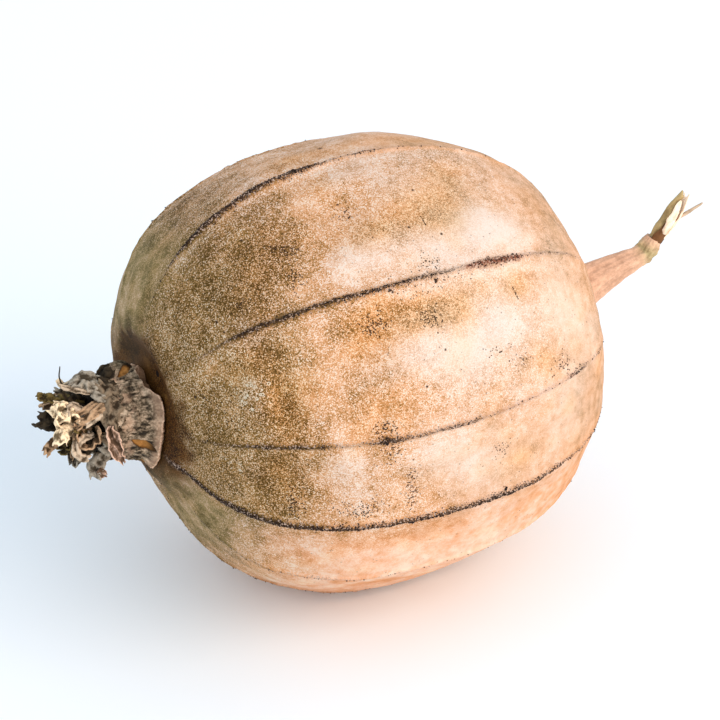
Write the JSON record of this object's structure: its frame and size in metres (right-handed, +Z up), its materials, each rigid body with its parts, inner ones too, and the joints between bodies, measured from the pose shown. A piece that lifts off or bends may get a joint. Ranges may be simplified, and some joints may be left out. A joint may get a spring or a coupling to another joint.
{
  "type": "dried ridge luffa gourd",
  "caption": "Small dried barrel-shaped gourd with thin raised ridges, a bent woody stalk at one end and a withered flower in its floral collar at the other, lying on a small flat spot.",
  "frame": {"origin": "middle of the small flat spot under the gourd, on the surface that it lies on", "axes": "+X along the gourd towards the stalk, +Z up"},
  "size_m": [0.0709, 0.0429, 0.0456],
  "materials": {
    "rind": "dry, papery, faintly grained",
    "collar": "rough, fibrous",
    "petals": "crumpled, matt",
    "stalk": "dry, matt"
  },
  "bodies": {
    "root": {"gourd": "rind", "calyx_collar": "collar", "withered_flower": "petals", "peduncle": "stalk"}
  },
  "joints": []
}
